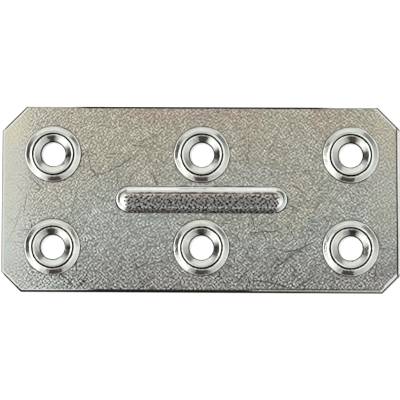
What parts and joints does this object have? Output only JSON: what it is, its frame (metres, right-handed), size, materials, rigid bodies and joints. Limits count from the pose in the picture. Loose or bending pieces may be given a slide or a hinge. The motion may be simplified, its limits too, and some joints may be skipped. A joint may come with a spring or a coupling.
{
  "type": "mending plate",
  "caption": "Flat pressed steel mending plate with corner cuts, raised countersunk screw holes and a stiffening bead along its middle.",
  "frame": {"origin": "middle of the plate's length and width, on its flat back face", "axes": "+X along the plate's length, +Y across its width, +Z out of the pressed front face"},
  "size_m": [0.084, 0.039, 0.0023],
  "materials": {
    "zinc_plated_steel": "bright zinc plating over rolled steel sheet: fine grey mottle and hairline scratches on the flats, burnished on the pressed rings and bead"
  },
  "bodies": {
    "root": {"mending_plate": "zinc_plated_steel"}
  },
  "joints": []
}
